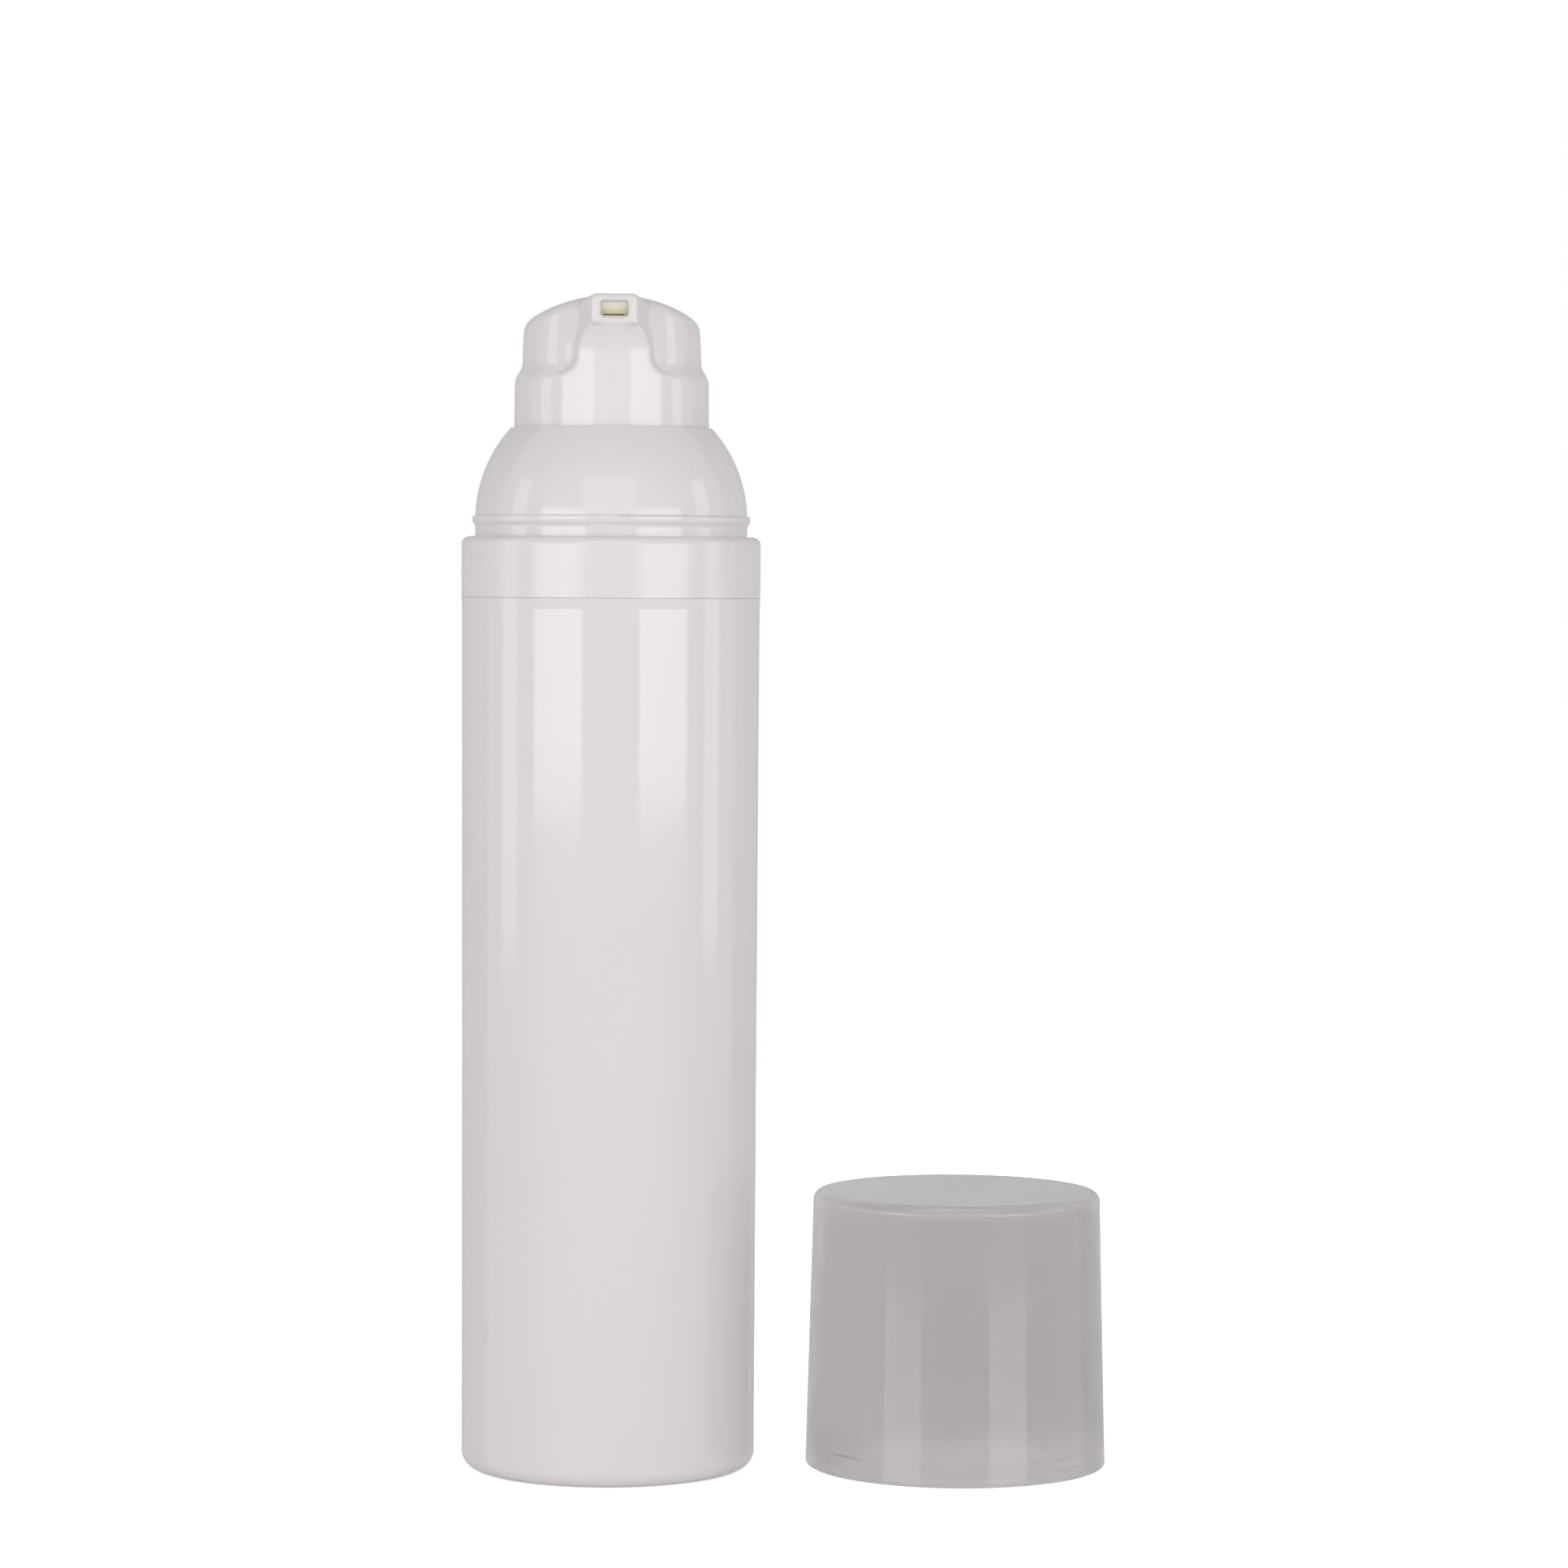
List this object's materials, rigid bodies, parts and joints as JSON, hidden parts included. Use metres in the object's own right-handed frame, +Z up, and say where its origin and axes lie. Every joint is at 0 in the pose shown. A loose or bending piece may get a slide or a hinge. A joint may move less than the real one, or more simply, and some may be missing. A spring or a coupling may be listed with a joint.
{
  "type": "airless pump bottle",
  "caption": "Straight white airless dispenser bottle with a domed collar, press-down nozzle pump, rising follower piston and a loose translucent overcap beside it.",
  "frame": {"origin": "middle of the bottle's foot, on the surface it stands on", "axes": "+Z up along the bottle, the nozzle faces -Y, and the cap stands beside the bottle towards +X"},
  "size_m": [0.0894, 0.0414, 0.1606],
  "materials": {
    "white_polypropylene": "polished moulding",
    "translucent_polypropylene": "translucent polished moulding",
    "natural_polypropylene": "natural moulding",
    "natural_polyethylene": "natural waxy moulding",
    "ivory_elastomer": "satin elastomer",
    "spring_steel": "drawn wire"
  },
  "bodies": {
    "container": {"bottle": "white_polypropylene", "dome_collar": "white_polypropylene", "neck_gasket": "natural_polyethylene", "pump_chamber": "natural_polypropylene", "guide_sleeve": "natural_polypropylene", "valve_cage": "natural_polypropylene", "return_spring": "spring_steel"},
    "plunger": {"pump_piston": "natural_polyethylene"},
    "head": {"actuator": "white_polypropylene", "nozzle_valve": "ivory_elastomer", "pump_stem": "natural_polypropylene", "piston_retainer": "natural_polypropylene"},
    "check_valve": {"inlet_valve": "natural_polyethylene"},
    "follower": {"follower_piston": "natural_polyethylene"},
    "cap": {"overcap": "translucent_polypropylene"}
  },
  "joints": [
    {"name": "actuator_press", "type": "slide", "parent": "container", "child": "plunger", "axis": [0, 0, -1], "range_m": [0, 0.006], "stiffness_N_per_m": 1385, "springref_m": -0.0062, "deforming": ["return_spring"]},
    {"name": "actuator_swivel", "type": "hinge", "parent": "plunger", "child": "head", "pos_m": [0, 0, 0.13], "axis": [0, 0, 1], "continuous": true},
    {"name": "inlet_valve_lift", "type": "slide", "parent": "container", "child": "check_valve", "axis": [0, 0, 1], "range_m": [0, 0.0008]},
    {"name": "follower_rise", "type": "slide", "parent": "container", "child": "follower", "axis": [0, 0, 1], "range_m": [0, 0.107]},
    {"name": "cap_lift", "type": "slide", "parent": "container", "child": "cap", "axis": [0, 0, 1], "range_m": [0, 0.165]}
  ]
}
